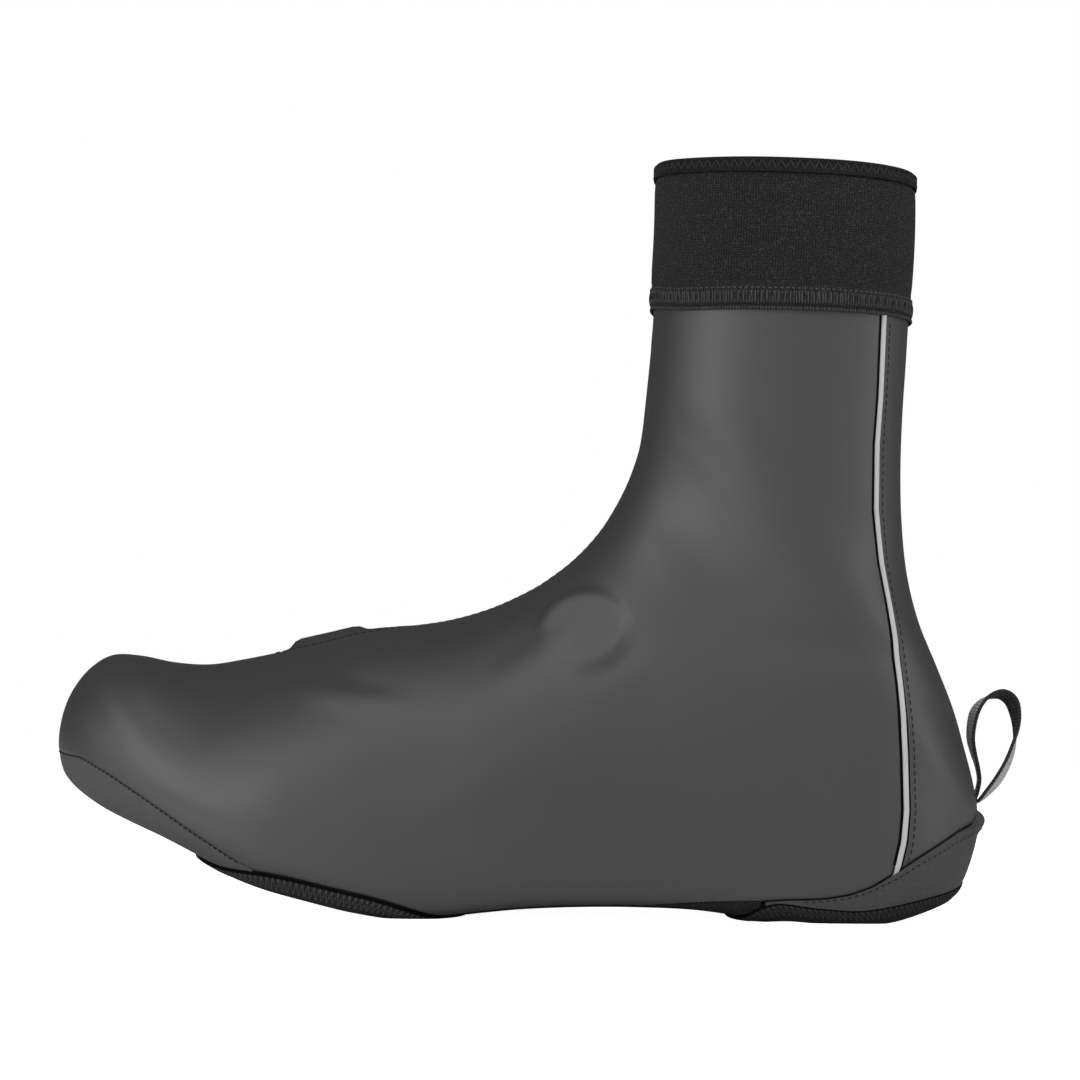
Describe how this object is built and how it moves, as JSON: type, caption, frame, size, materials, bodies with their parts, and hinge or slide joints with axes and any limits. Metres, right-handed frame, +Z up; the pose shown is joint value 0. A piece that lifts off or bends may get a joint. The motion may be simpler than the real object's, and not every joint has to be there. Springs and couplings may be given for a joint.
{
  "type": "cycling overshoe",
  "caption": "Left cycling overshoe in its worn form: coated stretch upper, knit cuff, reflective piping, toe and heel guards, open sole with bound cleat and heel openings, pull loop.",
  "frame": {"origin": "centre of the overshoe's footprint box, on the floor it stands on", "axes": "+Z up, +X from the toe to the heel, +Y from the lateral to the medial side"},
  "size_m": [0.3008, 0.1054, 0.234],
  "materials": {
    "coated_fabric": "smooth coated stretch fabric, soft sheen",
    "guard_fabric": "hard-wearing woven fabric, matte",
    "elastic_fabric": "elastic knit, matte",
    "cuff_knit": "fine rib knit, matte",
    "binding_tape": "elastic tape, matte",
    "reflective_cord": "reflective piping, satin",
    "loop_webbing": "ribbed webbing, satin"
  },
  "bodies": {
    "root": {"upper": "coated_fabric", "toe_guard": "guard_fabric", "heel_guard": "guard_fabric", "sole_panel": "elastic_fabric", "cleat_opening_binding": "binding_tape", "heel_opening_binding": "binding_tape", "cuff": "cuff_knit", "cuff_binding": "binding_tape", "piping_lateral": "reflective_cord", "piping_medial": "reflective_cord", "pull_loop": "loop_webbing"}
  },
  "joints": []
}
